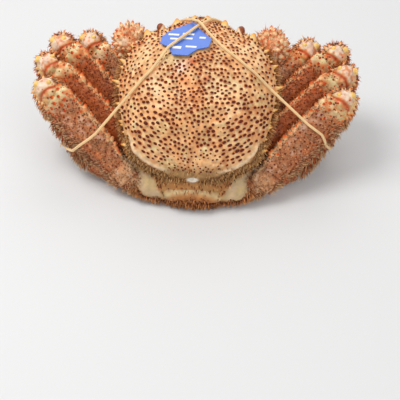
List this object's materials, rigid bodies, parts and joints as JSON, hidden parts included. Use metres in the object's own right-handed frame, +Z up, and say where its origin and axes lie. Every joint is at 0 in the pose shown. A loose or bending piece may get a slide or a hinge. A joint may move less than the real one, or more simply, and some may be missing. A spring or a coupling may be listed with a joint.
{
  "type": "horsehair crab",
  "caption": "Whole boiled horsehair crab with folded bristly legs, resting belly down, held by a rubber band over a blank blue tag.",
  "frame": {"origin": "centre of the whole crab's box, on the floor it rests on", "axes": "+X to the crab's right side, +Y towards its front (brow and claws), +Z up"},
  "size_m": [0.2574, 0.139, 0.1122],
  "materials": {
    "shell": "matte, knobbed and bristly",
    "leg": "matte, bristly",
    "underside": "satin",
    "claw": "matte, bristly",
    "finger_tip": "satin",
    "eye": "glossy",
    "band": "matte",
    "tag": "satin"
  },
  "bodies": {
    "root": {"carapace": "shell", "abdomen": "underside", "thorax": "underside", "leg_2_left_merus": "leg", "leg_2_left_carpus": "leg", "leg_2_left_propodus": "leg", "leg_2_left_dactyl": "leg", "leg_3_left_merus": "leg", "leg_3_left_carpus": "leg", "leg_3_left_propodus": "leg", "leg_3_left_dactyl": "leg", "leg_4_left_merus": "leg", "leg_4_left_carpus": "leg", "leg_4_left_propodus": "leg", "leg_4_left_dactyl": "leg", "leg_5_left_merus": "leg", "leg_5_left_carpus": "leg", "leg_5_left_propodus": "leg", "leg_5_left_dactyl": "leg", "claw_left_arm": "claw", "claw_left_carpus": "claw", "claw_left_palm": "claw", "claw_left_finger": "finger_tip", "eye_left": "eye", "antenna_left": "leg", "maxilliped_left": "underside", "leg_2_right_merus": "leg", "leg_2_right_carpus": "leg", "leg_2_right_propodus": "leg", "leg_2_right_dactyl": "leg", "leg_3_right_merus": "leg", "leg_3_right_carpus": "leg", "leg_3_right_propodus": "leg", "leg_3_right_dactyl": "leg", "leg_4_right_merus": "leg", "leg_4_right_carpus": "leg", "leg_4_right_propodus": "leg", "leg_4_right_dactyl": "leg", "leg_5_right_merus": "leg", "leg_5_right_carpus": "leg", "leg_5_right_propodus": "leg", "leg_5_right_dactyl": "leg", "claw_right_arm": "claw", "claw_right_carpus": "claw", "claw_right_palm": "claw", "claw_right_finger": "finger_tip", "eye_right": "eye", "antenna_right": "leg", "maxilliped_right": "underside", "tag": "tag", "rubber_band": "band"}
  },
  "joints": []
}
